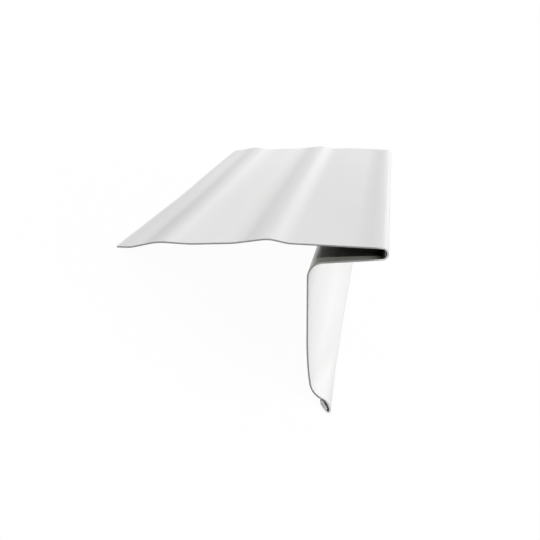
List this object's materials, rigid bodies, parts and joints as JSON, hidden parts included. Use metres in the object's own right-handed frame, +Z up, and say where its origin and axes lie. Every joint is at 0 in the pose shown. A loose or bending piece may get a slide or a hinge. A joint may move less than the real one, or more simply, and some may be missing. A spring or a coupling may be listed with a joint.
{
  "type": "drip edge",
  "caption": "Roll-formed white metal roof drip edge: ribbed nailing flange, folded overhanging nose, hanging face with a kicked-out hem.",
  "frame": {"origin": "centre of the piece's footprint, on the floor that it stands on", "axes": "+Y along the strip, +Z up, +X from the nailing flange's lip towards the hem; the piece stands like a tent on its lip and its hem"},
  "size_m": [0.1026, 0.3048, 0.0636],
  "materials": {
    "white_enamel": "satin white baked enamel on aluminium, light grey wash coat on the back, bare cut edges"
  },
  "bodies": {
    "root": {"drip_edge": "white_enamel"}
  },
  "joints": []
}
